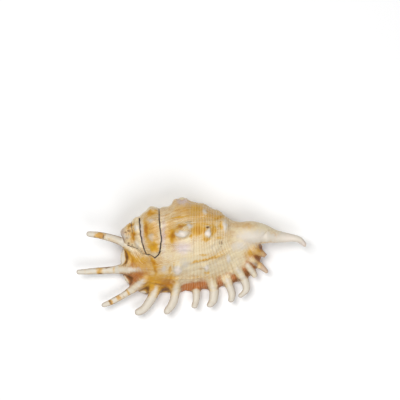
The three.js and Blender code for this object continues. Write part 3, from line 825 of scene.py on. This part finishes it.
# Paler colour on the cord crests: partly paler lime on the cords, partly a painted highlight.
colour = mixed(zone * (1 - groove) ** 2 * mottle.rises(0.3, 0.6) * (1 - ochre) * 0.22, colour, PALE_CREST_AND_HIGHLIGHT)
fine_groove = told("cord").wave(RELIEF["Cord pitch"] * FINE_CORD_SHARE)
rust = (told("rust") + (mottle - 0.5) * 0.9).rises(0.0, 0.8)
colour = mixed(rust * (0.82 + fine_groove * 0.18), colour, RUST)
brown = (told("brown") + (mottle - 0.5) * 0.5 + (broad - 0.5) * 0.4).rises(0.15, 1.0)
colour = mixed(brown, colour, BROWN)
white = (told("white") + (mottle - 0.5) * 0.8 - (bands - 0.5) * 0.6).rises(0.2, 0.85)
white_tone = mixed(told("white").rises(0.6, 1.2) * (1 - told("on_finger")), WHITE, BRIGHT)
unstained = (1 - ochre * told("on_finger") * 0.9) * (1 - brown * told("on_finger") * 0.9)
colour = mixed(white * unstained, colour, white_tone)
# Painted shade: the sideways flanks of every finger are darkened towards brown, with real brown staining
# at their feet.
colour = mixed(told("flank_stain_and_shade") * (0.3 + mottle), colour, FLANK_BROWN_AND_SHADE)

amber = mixed(mottle.rises(0.4, 0.65), ORANGE, AMBER)
for name, tone in (("glaze", GLAZE), ("tan", TAN), ("plum", PLUM), ("orange", amber)):
    ragged = told(name) + (broad - 0.5) * 0.9 + (mottle - 0.5) * 0.5
    colour = mixed(ragged.rises(0.35, 0.7), colour, tone)
mouth = mixed(told("mouth_dark"), MOUTH_BROWN, MOUTH_DARK)
mouth = mixed((told("reach") + (mottle - 0.5) * 0.15).rises(0.66, 0.86), mouth, MOUTH_RIM)
mouth = mixed(told("cord").wave(RELIEF["Lira pitch"]) ** 3 * told("lirae") * 0.9, mouth, LIRA)
colour = mixed(told("under_lip"), colour, mouth)
colour = mixed((told("seam") + (mottle - 0.5) * 0.25).falls(0.22, 0.6), colour, SEAM)
colour = mixed((grain - 0.5).rises(0.0, 0.25) * 0.12, colour, GOLD)
glaze = told("under_lip").most(told("glaze"))

roughness = 0.46 + (mottle - 0.5) * 0.3 - glaze * 0.2
bump = paint.node(
    "ShaderNodeBump",
    None,
    {"Height": grain * 0.4 + mottle * 0.6, "Strength": BUMP_STRENGTH, "Distance": BUMP_DEPTH},
)
paint_tree.links.new(colour.socket, surface.inputs["Base Color"])
paint_tree.links.new(roughness.socket, surface.inputs["Roughness"])
paint_tree.links.new((glaze * 0.5).socket, surface.inputs["Coat Weight"])
paint_tree.links.new(bump.socket, surface.inputs["Normal"])

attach(shell, "root")
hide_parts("shell")

# The setting: a plain white table that the shell lies on, mouth down, under soft light from above.
# The camera looks straight down from far enough away that heights hardly shift in the picture.
PIXEL = 0.55 * MM
FRAME_PIXELS = 400
FRAME_CENTRE_PIXEL = (200, 200)
SHELL_ORIGIN_PIXEL = (191, 256.5)
CAMERA_DISTANCE = 1.3
MID_HEIGHT = 15 * MM
CAMERA_SIGHT = 10
TABLE_HALF = 2
TABLE_WHITE = (0.93, 0.93, 0.93, 1)
TABLE_ROUGHNESS = 0.7
LIGHTS = [
    ["key light", (-0.3, 0.25, 1.0), 0.5, 7.0],
    ["fill light", (0.3, -0.5, 0.9), 0.7, 5.8],
]
WORLD_STRENGTH = 0.22

table_mesh = bpy.data.meshes.new("table")
corners = [(sx * TABLE_HALF, sy * TABLE_HALF, 0) for sx, sy in ((-1, -1), (1, -1), (1, 1), (-1, 1))]
table_mesh.from_pydata(corners, [], [(0, 1, 2, 3)])
table = bpy.data.objects.new("table", table_mesh)
bpy.context.collection.objects.link(table)
table_finish = bpy.data.materials.new("white table")
table_finish.use_nodes = True
table_surface = next(node for node in table_finish.node_tree.nodes if node.type == "BSDF_PRINCIPLED")
table_surface.inputs["Base Color"].default_value = TABLE_WHITE
table_surface.inputs["Roughness"].default_value = TABLE_ROUGHNESS
table_mesh.materials.append(table_finish)

for name, place, width, power in LIGHTS:
    light = bpy.data.lights.new(name, "AREA")
    light.size = width
    light.energy = power
    lamp = bpy.data.objects.new(name, light)
    lamp.location = place
    lamp.rotation_euler = (-lamp.location).to_track_quat("-Z", "Y").to_euler()
    bpy.context.collection.objects.link(lamp)
world = bpy.data.worlds.new("studio")
world.use_nodes = True
world.node_tree.nodes["Background"].inputs["Color"].default_value = (1, 1, 1, 1)
world.node_tree.nodes["Background"].inputs["Strength"].default_value = WORLD_STRENGTH
bpy.context.scene.world = world
bpy.context.scene.view_settings.view_transform = "Standard"

camera_data = bpy.data.cameras.new("camera")
camera_data.lens = camera_data.sensor_width * CAMERA_DISTANCE / (FRAME_PIXELS * PIXEL)
camera_data.clip_end = CAMERA_SIGHT
camera = bpy.data.objects.new("camera", camera_data)
camera.location = (
    (FRAME_CENTRE_PIXEL[0] - SHELL_ORIGIN_PIXEL[0]) * PIXEL,
    (SHELL_ORIGIN_PIXEL[1] - FRAME_CENTRE_PIXEL[1]) * PIXEL,
    MID_HEIGHT + CAMERA_DISTANCE,
)
bpy.context.collection.objects.link(camera)
bpy.context.scene.camera = camera
